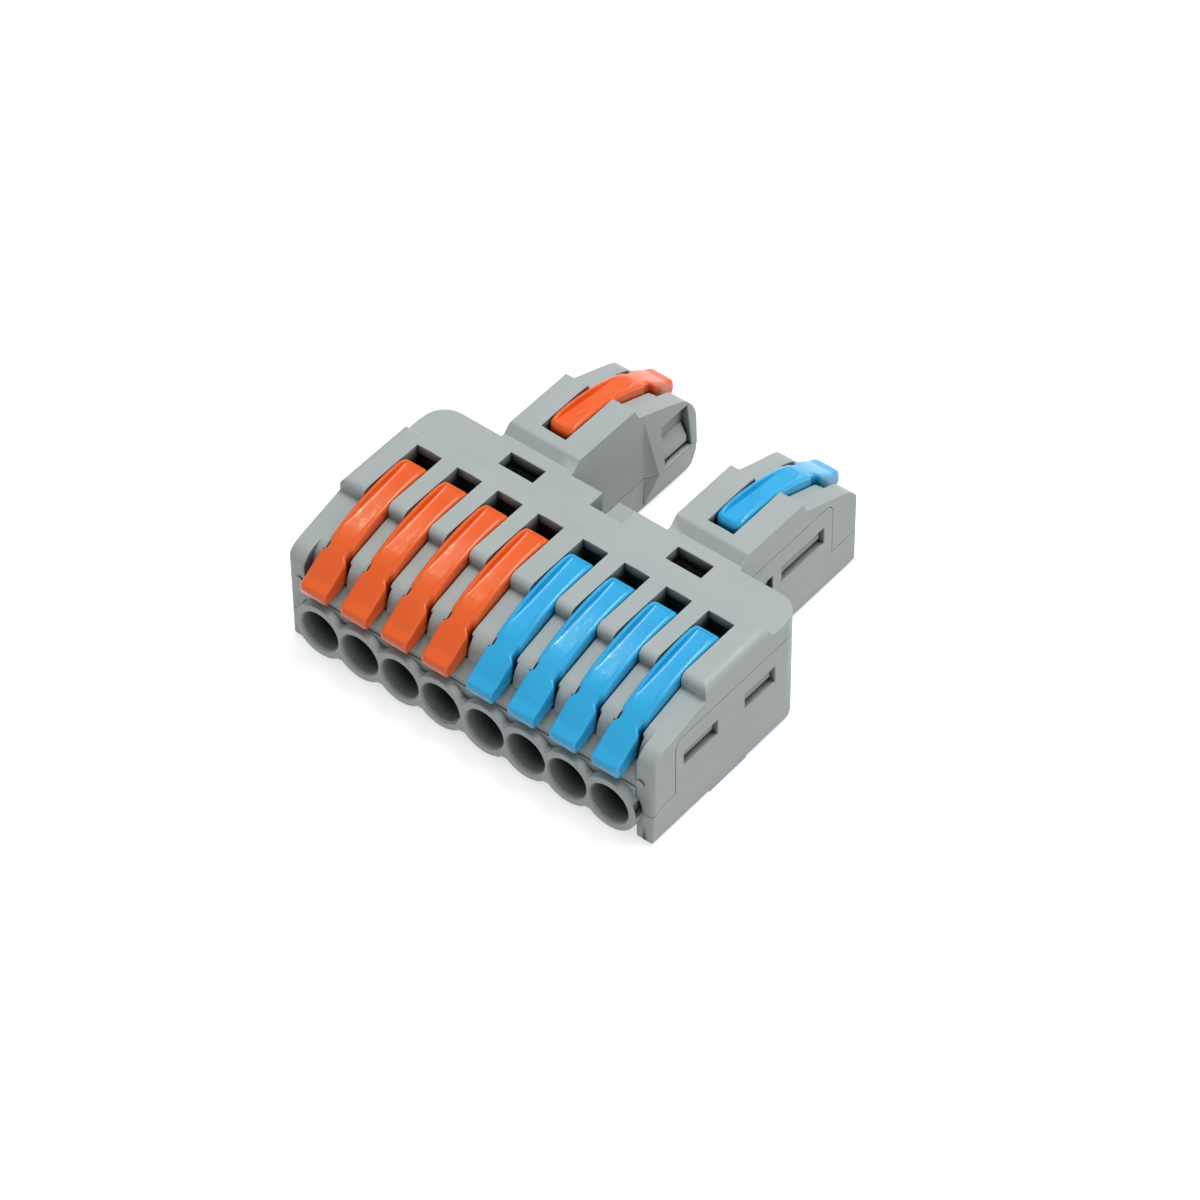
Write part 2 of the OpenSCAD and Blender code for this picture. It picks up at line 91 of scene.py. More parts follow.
class Finish:  # one material under construction
    def __init__(self, name, **constants):
        self.material = bpy.data.materials.new(name)
        self.material.use_nodes = True
        self.tree = self.material.node_tree
        self.shader = self.tree.nodes["Principled BSDF"]
        for socketName, value in constants.items():
            self.shader.inputs[socketName.replace("_", " ")].default_value = value

    def node(self, kind, settings, inputs, output=0):
        made = self.tree.nodes.new(kind)
        for key, value in settings.items():
            if key == "stops":
                ramp = made.color_ramp.elements
                while len(ramp) < len(value):
                    ramp.new(0.5)
                for element, (place, colour) in zip(ramp, value):
                    element.position = place
                    element.color = (*colour, 1)
            else:
                setattr(made, key, value)
        for key, value in inputs.items():
            if isinstance(value, Value):
                self.tree.links.new(value.socket, made.inputs[key])
            else:
                made.inputs[key].default_value = value
        return Value(self, made.outputs[output])

    def feed(self, socketName, value):
        self.tree.links.new(value.socket, self.shader.inputs[socketName])

    def place(self, **mapping):  # object coordinates, stretched or turned
        coords = self.node("ShaderNodeTexCoord", {}, {}, "Object")
        return self.node("ShaderNodeMapping", {}, {"Vector": coords, **mapping}, "Vector")

    def noise(self, where, scale, detail=3.0, roughness=0.5):
        return self.node("ShaderNodeTexNoise", {}, {"Vector": where, "Scale": scale, "Detail": detail,
                                                   "Roughness": roughness}, "Fac")

    def between(self, value, low, high):  # 0 below low, 1 above high
        return self.node("ShaderNodeMapRange", {"interpolation_type": "SMOOTHSTEP"},
                         {"Value": value, "From Min": low, "From Max": high})

    def tint(self, factor, first, second):
        return self.node("ShaderNodeMix", {"data_type": "RGBA"}, {0: factor, 6: first, 7: second}, 2)

    def edges(self, radius):  # 1 on sharp edges and corners, 0 on open faces
        bent = self.node("ShaderNodeBevel", {"samples": 6}, {"Radius": radius}, "Normal")
        straight = self.node("ShaderNodeNewGeometry", {}, {}, "Normal")
        facing = self.node("ShaderNodeVectorMath", {"operation": "DOT_PRODUCT"},
                           {0: bent, 1: straight}, "Value")
        return self.between(1 - facing, 0.01, 0.2)

    def crevicePaintedShade(self, reach):  # painted shade: 0 deep in slots and bores, 1 in the open
        near = self.node("ShaderNodeAmbientOcclusion", {"samples": 8}, {"Distance": reach}, "AO")
        wide = self.node("ShaderNodeAmbientOcclusion", {"samples": 8, "only_local": True},
                         {"Distance": 4 * reach}, "AO")
        return self.between(near, 0.02, 0.62) * self.between(wide, 0.14, 0.5)

    def ribFronts(self):  # 1 round the thumb tips, where the mould was milled in steps
        coords = self.node("ShaderNodeTexCoord", {}, {}, "Object")
        away = self.node("ShaderNodeSeparateXYZ", {}, {0: coords}, "Y")
        return 1 - self.between(away, *ribReach)

    def bump(self, height, distance):
        bent = self.node("ShaderNodeBump", {}, {"Height": height, "Distance": distance}, "Normal")
        self.feed("Normal", bent)


def rgb(red, green, blue):  # screen colour, 0 to 255, as a shader takes it
    shares = (red / 255, green / 255, blue / 255)
    return tuple(((c + 0.055) / 1.055) ** 2.4 if c > 0.0404 else c / 12.92 for c in shares)


def paint(colour):
    return (*colour, 1)


# materials, each from one dictionary of looks; the scales count noise cells in a metre

nylonScales = {"cloud": 160, "speckle": 5200, "streak": 900, "milled": 5200, "smear": 420}
leverScales = {"cloud": 240, "grain": 6000, "flow": 1500, "wave": 1500, "scuff": 1300}
plateScales = {"roll": 4200, "cloud": 700}


def greyNylon(name, look):
    made = Finish(name, Specular_IOR_Level=0.45)
    where = made.place()
    cloud = made.noise(where, nylonScales["cloud"], 4)
    speckle = made.noise(where, nylonScales["speckle"], 2, 0.6)
    streak = made.noise(made.place(Scale=(1, 0.12, 1)), nylonScales["streak"], 3)
    milled = made.noise(made.place(Scale=(0.02, 1, 1)), nylonScales["milled"], 1) * made.ribFronts()
    tilted = made.place(Scale=(1, 0.3, 1), Rotation=(0.5, 0, 0))
    smear = made.between(made.noise(tilted, nylonScales["smear"], 5), 0.62, 0.72)
    edgeWearAndHighlight = made.edges(0.22 * mm)
    colour = made.tint(cloud, paint(look["dark"]), paint(look["light"]))
    colour = made.tint(made.between(speckle, 0.55, 0.75) * 0.2, colour, paint(look["fleck"]))
    # lighter on edges: painted highlight, with some edge wear; smears and milled marks are lighter too
    colour = made.tint(edgeWearAndHighlight * 0.4 + smear * 0.12 + milled * 0.1, colour, paint(look["edge"]))
    # painted shade: near black deep in slots and bores
    made.feed("Base Color", made.tint(made.crevicePaintedShade(4.5 * mm), paint(look["deep"]), colour))
    uneven = 0.14 * (cloud - 0.5) + 0.1 * (streak - 0.5)
    made.feed("Roughness", look["roughness"] + uneven - 0.08 * edgeWearAndHighlight - 0.1 * smear)
    made.bump(speckle + 0.5 * streak + 2.5 * milled, look["grain"])
    return made.material


def leverPlastic(name, look):
    made = Finish(name, Specular_IOR_Level=0.5, Coat_Roughness=0.2)
    where = made.place()
    cloud = made.noise(where, leverScales["cloud"], 3)
    grain = made.noise(where, leverScales["grain"], 2)
    flow = made.noise(made.place(Scale=(1, 0.08, 0.2)), leverScales["flow"], 2)
    scoopMarksAndSheen = made.node("ShaderNodeAttribute", {"attribute_name": "ripple"}, {}, "Fac")
    slanted = made.place(Scale=(1, 0.45, 0.45), Rotation=(0, 0, 0.5))
    wave = made.noise(slanted, leverScales["wave"], 4, 0.7)
    ripple = made.between(wave, 0.5, 0.66) * scoopMarksAndSheen
    rubbed = made.place(Scale=(1, 0.2, 0.6), Rotation=(0, 0, 0.4))
    scuff = made.between(made.noise(rubbed, leverScales["scuff"], 4), 0.66, 0.74)
    edgeWearAndHighlight = made.edges(0.18 * mm)
    colour = made.tint(cloud, paint(look["deep"]), paint(look["bright"]))
    # lighter on edges and over the ripple marks: painted highlights, with some edge wear; lighter across the
    # scoop: painted reflection; scuffs are wear
    colour = made.tint(edgeWearAndHighlight * 0.35 + scuff * 0.12 + scoopMarksAndSheen * 0.22 + ripple * 0.5, colour, paint(look["edge"]))
    # painted shade: darker deep in slots and where the housing closes round the lever
    made.feed("Base Color", made.tint(made.crevicePaintedShade(3 * mm), paint(look["shade"]), colour))
    made.feed("Roughness", look["roughness"] + 0.12 * (flow - 0.5) + 0.12 * scuff - 0.2 * ripple)
    made.feed("Coat Weight", 0.2 + 0.6 * ripple)
    made.bump(grain + 0.6 * flow + 12 * (wave * scoopMarksAndSheen), 0.006 * mm)
    return made.material


def tinPlate(name, look):
    made = Finish(name, Metallic=1.0)
    where = made.place(Scale=(1, 0.06, 1))
    roll = made.noise(where, plateScales["roll"], 3)
    cloud = made.noise(made.place(), plateScales["cloud"], 4)
    made.feed("Base Color", made.tint(cloud, paint(look["dark"]), paint(look["light"])))
    made.feed("Roughness", look["roughness"] + 0.2 * (roll - 0.5) + 0.12 * (cloud - 0.5))
    made.bump(roll, 0.004 * mm)
    return made.material


# the housing's "deep" and the levers' "shade" are painted shade colours for slots, bores and crevices
looks = {
    # "edge" is the lighter colour for wear and for the painted highlights on edges and in the scoops
    "housing": {"dark": rgb(158, 167, 166), "light": rgb(169, 178, 177), "fleck": rgb(144, 153, 153),
                "edge": rgb(196, 204, 202), "deep": rgb(30, 34, 34), "roughness": 0.47, "grain": 0.012 * mm},
    "orange": {"deep": rgb(228, 88, 22), "bright": rgb(238, 100, 30), "edge": rgb(248, 168, 128),
               "shade": rgb(138, 40, 14), "roughness": 0.31},
    "blue": {"deep": rgb(26, 160, 214), "bright": rgb(40, 176, 230), "edge": rgb(140, 216, 246),
             "shade": rgb(8, 70, 112), "roughness": 0.31},
    "tin": {"dark": rgb(178, 174, 166), "light": rgb(206, 202, 194), "roughness": 0.34},
    "steel": {"dark": rgb(150, 152, 156), "light": rgb(188, 190, 194), "roughness": 0.28},
}
materials = {
    "housing": greyNylon("housing_nylon", looks["housing"]),
    "orange": leverPlastic("lever_orange", looks["orange"]),
    "blue": leverPlastic("lever_blue", looks["blue"]),
    "tin": tinPlate("tinned_copper", looks["tin"]),
    "steel": tinPlate("spring_steel", looks["steel"]),
}
print("materials made")


# helpers

def newPiece(name, mesh, material, body):
    mesh.materials.clear()
    mesh.materials.append(material)
    made = bpy.data.objects.new(name, mesh)
    bpy.context.scene.collection.objects.link(made)
    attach(made, body)
    return made


def crispJoin(bm, angle):  # smooth shading, apart from edges that turn further than this
    for face in bm.faces:
        face.smooth = True
    for edge in bm.edges:
        edge.smooth = len(edge.link_faces) == 2 and edge.calc_face_angle(0) < angle


def baked(made):  # the modifiers' result as a plain mesh
    graph = bpy.context.evaluated_depsgraph_get()
    return bpy.data.meshes.new_from_object(made.evaluated_get(graph), depsgraph=graph)


# housing

shellLook = {
    "outerRound": 0.34 * mm,  # edges with open air on both sides
    "innerRound": 0.13 * mm,  # rims of slots and windows
    "seamRound": 0.045 * mm,  # where the two shells meet
    "seamReach": 0.12 * mm,
    "crispAngle": math.radians(27),
    "steps": 3,
    "attempts": 8,
    "repairReach": 0.45 * mm,
    "standOut": 0.012 * mm,  # how far a point may be in front of its wall
    "sinkIn": 0.1224 * mm,  # and how far behind it
    "smoothAngle": math.radians(40),
    "cheekCut": 23.4 * mm,  # where the shells are cut besides the poles, across and up
    "windowCut": 9.1 * mm,
}
crispShare, plainShare = 0.42, 0.8  # how much of the way to a neighbouring edge a round may take


def mergedCopy(node, look):
    bm = bmesh.new()
    bm.from_mesh(frame["nodes"][node].data)
    bmesh.ops.remove_doubles(bm, verts=bm.verts, dist=0.002 * mm)
    across = {round(joint["pos_m"][0], 5) for joint in joints.values()}
    cuts = [((x, 0, 0), (1, 0, 0)) for x in sorted(across) + [-look["cheekCut"], look["cheekCut"]]]
    cuts.append(((0, 0, look["windowCut"]), (0, 0, 1)))
    for place, normal in cuts:  # so that fewer flat faces have holes in them
        everything = bm.verts[:] + bm.edges[:] + bm.faces[:]
        made = bmesh.ops.bisect_plane(bm, geom=everything, dist=0.001 * mm, plane_co=place, plane_no=normal)
        for part in made["geom_cut"]:
            if isinstance(part, bmesh.types.BMEdge):
                part.seam = True
    bmesh.ops.dissolve_limit(bm, angle_limit=math.radians(0.6), verts=bm.verts, edges=bm.edges,
                             delimit={"SEAM"})
    bm.normal_update()
    return bm


def facesOpenAir(edge, trees):  # nothing stands in front of either of its faces
    middle = (edge.verts[0].co + edge.verts[1].co) / 2
    for face in edge.link_faces:
        inward = (face.calc_center_median() - middle).normalized()
        start = middle + face.normal * 0.02 * mm + inward * 0.02 * mm
        if any(tree.ray_cast(start, face.normal)[0] for tree in trees):
            return False
    return True


def goesOn(first, second, vertex):  # the two edges run on in nearly one line
    one = (first.other_vert(vertex).co - vertex.co).normalized()
    two = (second.other_vert(vertex).co - vertex.co).normalized()
    return one.dot(two) < -0.86


def edgeChains(crisp, chosen):
    chains, seen = [], set()
    for edge in crisp:
        if edge in seen:
            continue
        chain, waiting = [], [edge]
        seen.add(edge)
        while waiting:
            here = waiting.pop()
            chain.append(here)
            for vertex in here.verts:
                for other in vertex.link_edges:
                    if other in chosen and other not in seen and goesOn(here, other, vertex):
                        seen.add(other)
                        waiting.append(other)
        chains.append(chain)
    return chains


def gapBetween(first, second):  # rough distance of two edges
    middle = (first.verts[0].co + first.verts[1].co) / 2
    near, share = intersect_point_line(middle, second.verts[0].co, second.verts[1].co)
    near = second.verts[0].co.lerp(second.verts[1].co, min(max(share, 0), 1))
    return (near - middle).length


def roomFor(chain, crisp):  # the largest round that the neighbouring edges leave space for
    room, chained = 1.0, set(chain)
    for edge in chain[::max(1, len(chain) // 12)]:
        for face in edge.link_faces:
            for other in face.edges:
                apart = other not in chained and not set(other.verts) & set(edge.verts)
                if apart and other.calc_length() > 0:
                    room = min(room, gapBetween(edge, other) * (crispShare if other in crisp else plainShare))
    for edge in chain:
        for vertex in edge.verts:
            for other in vertex.link_edges:
                if other is edge or (other in crisp and goesOn(edge, other, vertex)):
                    continue
                if set(other.link_faces) & set(edge.link_faces):
                    room = min(room, other.calc_length() * (crispShare if other in crisp else plainShare))
    return room


def crossings(mesh, face):  # places where a face's outline runs over itself
    flat = face.normal.to_track_quat("Z", "Y").to_matrix().transposed()
    points = [flat @ mesh.vertices[index].co / mm for index in face.vertices]
    sides = list(zip(points, points[1:] + points[:1]))
    found = []
    for index, (start, end) in enumerate(sides):
        for otherStart, otherEnd in sides[index + 2:len(sides) - (index == 0)]:
            hit = intersect_line_line_2d(start.xy, end.xy, otherStart.xy, otherEnd.xy)
            if hit:
                found.append(flat.transposed() @ Vector((*hit, start.z)) * mm)
    return found


def heldIn(place, corners):  # the nearest point inside a box
    return Vector([min(max(value, low), high) for value, low, high in zip(place, *corners)])


def spoiled(mesh, tree, corners, look):  # places where the rounding went through a wall or folded over
    places = []
    for vertex in mesh.vertices:
        near, normal, face, distance = tree.find_nearest(vertex.co)
        outside = (vertex.co - near).dot(normal)
        beyond = (vertex.co - heldIn(vertex.co, corners)).length
        if distance > look["sinkIn"] or max(outside, beyond) > look["standOut"]:
            places.append(vertex.co.copy())
    mesh.calc_loop_triangles()
    filled = dict.fromkeys(range(len(mesh.polygons)), 0.0)
    for part in mesh.loop_triangles:
        filled[part.polygon_index] += part.area
        centre = sum((mesh.vertices[index].co for index in part.vertices), Vector()) / 3
        near, normal, face, distance = tree.find_nearest(centre)
        turned = part.normal.dot(normal) < 0.2
        if part.area > (0.03 * mm) ** 2 and (turned or distance > look["sinkIn"]):
            places.append(centre)
    for face in mesh.polygons:
        if len(face.vertices) > 4 and filled[face.index] > 1.01 * face.area:
            places += crossings(mesh, face)
    return places


def rounded(bm, name, look):  # a bevelled mesh, each edge by its own weight
    mesh = bpy.data.meshes.new(name)
    bm.to_mesh(mesh)
    carrier = bpy.data.objects.new(name, mesh)
    bpy.context.scene.collection.objects.link(carrier)
    rounding = carrier.modifiers.new("rounding", "BEVEL")
    rounding.limit_method = "WEIGHT"
    rounding.width = look["outerRound"]
    rounding.segments = look["steps"]
    rounding.use_clamp_overlap = False
    result = baked(carrier)
    bpy.data.objects.remove(carrier)
    return result


def softShell(node, copies, trees, look):
    bm = copies[node]
    weight = bm.edges.layers.float.new("bevel_weight_edge")
    crisp = [edge for edge in bm.edges if len(edge.link_faces) == 2 and edge.is_convex
             and edge.calc_face_angle(0) > look["crispAngle"]]  # a list, so that each run takes one order
    chosen = set(crisp)
    otherTree = next(tree for name, tree in trees.items() if name != node)
    spans = [[vertex.co[axis] for vertex in bm.verts] for axis in range(3)]
    corners = [min(span) for span in spans], [max(span) for span in spans]
    for chain in edgeChains(crisp, chosen):
        samples = chain[::max(1, len(chain) // 5)]
        inOpen = sum(facesOpenAir(edge, trees.values()) for edge in samples) > len(samples) / 2
        room = roomFor(chain, chosen)
        for edge in chain:
            spots = [edge.verts[0].co.lerp(edge.verts[1].co, share) for share in (0.2, 0.5, 0.8)]
            touching = any(otherTree.find_nearest(spot, look["seamReach"])[0] for spot in spots)
            size = look["seamRound"] if touching else look["outerRound"] if inOpen else look["innerRound"]
            edge[weight] = min(size, room) / look["outerRound"]
    for attempt in range(look["attempts"]):
        mesh = rounded(bm, node + "_soft", look)
        places = spoiled(mesh, trees[node], corners, look)
        if not places:
            break
        lookup = KDTree(len(places))
        for index, place in enumerate(places):
            lookup.insert(place, index)
        lookup.balance()
        for edge in crisp:
            start, along = edge.verts[0].co, edge.verts[1].co - edge.verts[0].co
            steps = max(2, math.ceil(along.length / look["repairReach"]))
            spots = [start + along * step / steps for step in range(steps + 1)]
            if any(lookup.find(spot)[2] < look["repairReach"] for spot in spots):
                edge[weight] = edge[weight] * 0.5 if edge[weight] > 0.04 else 0.0
    print(node, "rounded,", len(places), "places left rough after", attempt + 1, "tries")
    bm.free()
    bm = bmesh.new()
    bm.from_mesh(mesh)
    for vertex in bm.verts:  # what still stands out goes back to the wall
        near, normal, face, distance = trees[node].find_nearest(vertex.co)
        if distance > look["sinkIn"] or (vertex.co - near).dot(normal) > look["standOut"]:
            vertex.co = near
        vertex.co = heldIn(vertex.co, corners)
    crispJoin(bm, look["smoothAngle"])
    bm.to_mesh(mesh)
    bm.free()
    made = newPiece(node + "_soft", mesh, materials["housing"], "housing")
    weighted = made.modifiers.new("weighted", "WEIGHTED_NORMAL")
    weighted.keep_sharp = True
    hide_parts(node)
    return made


shellCopies = {node: mergedCopy(node, shellLook) for node in ("base_shell", "cover_shell")}
shellTrees = {node: BVHTree.FromBMesh(copy) for node, copy in shellCopies.items()}
for shellNode in ("base_shell", "cover_shell"):
    shell = softShell(shellNode, shellCopies, shellTrees, shellLook)
    print(shellNode, "has", len(shell.data.polygons), "faces")

for node in ("busbar_orange", "busbar_blue"):
    frame["nodes"][node].data.materials.clear()
    frame["nodes"][node].data.materials.append(materials["tin"])


# levers, each in its own frame: u from the axle to the thumb tip, v up, w across

leverShape = {
    "archCentre": (-2.5, -18.4), "archRadius": 23.7, "armDepth": 2.6,
    "heelCentre": (-3.2, 3.85), "heelRadius": 1.35, "hubRadius": 3.3,
    "tipUnder": ((9.3, -0.95), (12.6, -2.03)),
    "crease": 12.1, "padEnd": (13.26, -0.32), "nose": (13.6, -0.9), "chin": (13.3, -1.72),
    "armWidth": 3.25, "neckWidth": 2.62, "tipWidth": 3.54, "neck": (8.05, 8.65, 9.2, 9.75),
    "heelCorner": 0.75, "tipCorner": 0.72, "topRound": 0.4, "underRound": 0.16,
    "scoopBack": (-3.95, 4.93), "scoopFront": (6.75, 3.4), "scoopWidth": 2.15, "scoopCorner": 0.5,
    "scoopWall": ((0.05, 0), (0.02, 0.08), (0, 0.26), (-0.03, 0.55),  # outwards, and share of the depth
                  (-0.07, 0.82), (-0.15, 0.96), (-0.28, 1)),
    "flashHeight": 0.52, "flashOut": 0.035, "axleRadius": 1.1, "axleLength": 0.9,
}
rippleSheenOf = {  # how strongly the moulding marks show in each scoop, with their painted highlight and the scoop's lighter painted reflection
    "output_lever_1": 1.0, "output_lever_2": 0.8, "output_lever_3": 1.0, "output_lever_4": 0.4,
    "output_lever_5": 0.05, "output_lever_6": 0.8, "output_lever_7": 0.7, "output_lever_8": 0.1,
    "input_lever_orange": 0.15, "input_lever_blue": 0.1,
}


def arcPoints(centre, radius, start, end, steps):
    turns = [math.radians(start + (end - start) * step / steps) for step in range(steps + 1)]
    return [(centre[0] + radius * math.cos(turn), centre[1] + radius * math.sin(turn)) for turn in turns]


def heightAlong(line, u):  # a profile's height where it passes u
    for (u0, v0), (u1, v1) in zip(line, line[1:]):
        if u <= u1:
            return v0 + (v1 - v0) * (u - u0) / (u1 - u0) if u1 > u0 else v1
    return line[-1][1]


def arch(shape, u, depth=0.0):
    reach = shape["archRadius"] - depth
    return shape["archCentre"][1] + math.sqrt(reach ** 2 - (u - shape["archCentre"][0]) ** 2)


def ease(value, low, high):
    share = min(max((value - low) / (high - low), 0), 1)
    return share * share * (3 - 2 * share)


def leverProfiles(shape):
    heel, radius, hub = shape["heelCentre"], shape["heelRadius"], shape["hubRadius"]
    top = arcPoints(heel, radius, 180, 95, 14)
    crest = [heel[0] + 0.25 + step * 0.3 for step in range(60)]
    top += [(u, arch(shape, u)) for u in crest if u < shape["crease"]]
    top += [(shape["crease"], arch(shape, shape["crease"])), shape["padEnd"]]
    top += [(shape["padEnd"][0] + 0.17, shape["padEnd"][1] - 0.13), shape["nose"]]
    under = [(heel[0] - radius, heel[1]), (heel[0] - radius + 0.02, heel[1] - 0.3), (-hub, 0.6)]
    under += arcPoints((0, 0), hub, 183, 300, 18)
    under += [(u, arch(shape, u, shape["armDepth"])) for u in (3, 4, 5, 6, 7, 8, 9)]
    under += [shape["tipUnder"][0], shape["tipUnder"][1], (12.98, -2.0), shape["chin"], shape["nose"]]
    return top, under


def halfWidth(shape, u, heelEnd):
    arm, neck, tip = shape["armWidth"] / 2, shape["neckWidth"] / 2, shape["tipWidth"] / 2
    marks = shape["neck"]
    width = arm + (neck - arm) * ease(u, marks[0], marks[1]) + (tip - neck) * ease(u, marks[2], marks[3])
    for corner, gone in ((shape["heelCorner"], heelEnd + shape["heelCorner"] - u),
                         (shape["tipCorner"], u - shape["nose"][0] + shape["tipCorner"])):
        if gone > 0:
            width -= corner - math.sqrt(max(corner ** 2 - gone ** 2, 0))
    return width


def scoopAt(shape, u, topHeight):  # its depth and half width
    (u0, v0), (u1, v1) = shape["scoopBack"], shape["scoopFront"]
    depth = max(topHeight - (v0 + (v1 - v0) * (u - u0) / (u1 - u0)), 0.0)
    depth *= ease(u, u0, u0 + 0.3) * (1 - ease(u, u1 - 0.35, u1))
    corner = shape["scoopCorner"]
    gone = min(max(u0 + corner - u, u - u1 + 0.25, 0), corner)
    return depth, shape["scoopWidth"] / 2 - (corner - math.sqrt(corner ** 2 - gone ** 2))


def leverSection(shape, u, top, under, heelEnd):  # half a ring, from the middle of the underside to the top
    high, low = heightAlong(top, u), heightAlong(under, u)
    tall = max(high - low, 0.0)
    half = halfWidth(shape, u, heelEnd)
    depth, scoop = scoopAt(shape, u, high)
    topRound = min(shape["topRound"], 0.48 * tall, 0.6 * half)
    underRound = min(shape["underRound"], 0.3 * tall, 0.3 * half)
    flash = min(shape["flashHeight"], 0.45 * tall)
    flashOut = shape["flashOut"] * ease(u, 9.0, 9.6) * ease(tall, 0.2, 0.9)
    ring = [(0, low), (half * 0.5, low)]
    ring += arcPoints((half - underRound, low + underRound), underRound, -90, 0, 3)
    ring += [(half, low + flash * 0.86), (half + flashOut, low + flash * 0.98), (half, low + flash * 1.1)]
    ring += [(half, low + flash * 1.1 + (tall - topRound - flash * 1.1) * 0.5)]
    ring += arcPoints((half - topRound, high - topRound), topRound, 0, 90, 6)
    scoop = min(scoop, half - topRound - 0.06)
    for out, sink in shape["scoopWall"]:
        ring.append((max(scoop + out, 0.02 + out * 0.05), high - depth * sink))
    ring += [(max(scoop - 0.28, 0) * 0.5, high - depth), (0, high - depth)]
    return ring, depth


def leverMesh(name, shape, pivot, facing, ripple):
    top, under = leverProfiles(shape)
    heelEnd = shape["heelCentre"][0] - shape["heelRadius"]
    noseEnd = shape["nose"][0]
    spots = [heelEnd + 0.004, heelEnd + 0.03, heelEnd + 0.08, heelEnd + 0.16, heelEnd + 0.27, heelEnd + 0.4]
    spots += [heelEnd + 0.5 + step * 0.1 for step in range(10)]
    spots += [heelEnd + 1.55 + step * 0.25 for step in range(39)]
    spots += [shape["neck"][0] - 0.1 + step * 0.12 for step in range(16)]
    spots += [10.1 + step * 0.25 for step in range(8)] + [shape["crease"] - 0.03, shape["crease"] + 0.03]
    spots += [12.3 + step * 0.12 for step in range(9)]
    spots += [noseEnd - gap for gap in (0.2, 0.13, 0.075, 0.035, 0.012, 0.002)]
    spots = sorted({round(spot, 3) for spot in spots})
    bm = bmesh.new()
    scoopMarksAndSheen = bm.verts.layers.float.new("ripple")
    rings = []
    for u in spots:
        half, depth = leverSection(shape, u, top, under, heelEnd)
        points = half + [(-w, v) for w, v in reversed(half[1:-1])]
        ring = []
        for w, v in points:
            vertex = bm.verts.new((pivot[0] + w * mm, pivot[1] + facing * u * mm, pivot[2] + v * mm))
            inScoop = 1 - ease(abs(w), 0.9, 1.15)
            vertex[scoopMarksAndSheen] = ripple * inScoop * ease(depth, 0.02, 0.15) * ease(u, -1.5, 3.0) if v > 2 else 0.0
            ring.append(vertex)
        rings.append(ring)
    for before, after in zip(rings, rings[1:]):
        for here in range(len(before)):
            nextOne = (here + 1) % len(before)
            bm.faces.new((before[here], before[nextOne], after[nextOne], after[here]))
    bm.faces.new(rings[0])
    bm.faces.new(list(reversed(rings[-1])))
    bmesh.ops.remove_doubles(bm, verts=bm.verts, dist=0.0015 * mm)
    for side in (-1, 1):
        addAxle(bm, shape, pivot, side)
    bmesh.ops.recalc_face_normals(bm, faces=bm.faces)
    crispJoin(bm, math.radians(50))
    mesh = bpy.data.meshes.new(name + "_moulded")
    bm.to_mesh(mesh)
    bm.free()
    return mesh


def addAxle(bm, shape, pivot, side):
    inner, outer = shape["armWidth"] / 2 - 0.3, shape["armWidth"] / 2 + shape["axleLength"]
    steps, rings = 40, []
    for w, radius in ((inner, shape["axleRadius"]), (outer - 0.15, shape["axleRadius"]),
                      (outer, shape["axleRadius"] - 0.15)):
        turns = [2 * math.pi * step / steps for step in range(steps)]
        rings.append([bm.verts.new((pivot[0] + side * w * mm, pivot[1] + radius * math.cos(turn) * mm,
                                    pivot[2] + radius * math.sin(turn) * mm)) for turn in turns])
    for before, after in zip(rings, rings[1:]):
        for here in range(steps):
            bm.faces.new((before[here], before[(here + 1) % steps], after[(here + 1) % steps], after[here]))
    bm.faces.new(rings[0])
    bm.faces.new(rings[-1])


for node, ripple in rippleSheenOf.items():
    joint = joints[node]
    facing = 1 if node.startswith("input") else -1
    colour = next(part["material_slot"] for part in record["subparts"] if part["node"] == node)
    mesh = leverMesh(node, leverShape, Vector(joint["pos_m"]), facing, ripple)
    lever = newPiece(node + "_moulded", mesh, materials[colour.replace("lever_", "")], node)
    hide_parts(node)
print("levers moulded,", len(mesh.vertices), "points each")


# clamping springs, by nodes

springLook = {"Loop radius": 2.0, "Loop start": 210.0, "Loop turn": 170.0, "Foot": 2.1, "Leg": 5.2,
              "Strip width": 3.8, "Strip thickness": 0.4, "Edge round": 0.1}
springCentre = (-4.5, 5.6)  # u from the axle, height over the underside
floorUnderBusbar = 1.3 * mm


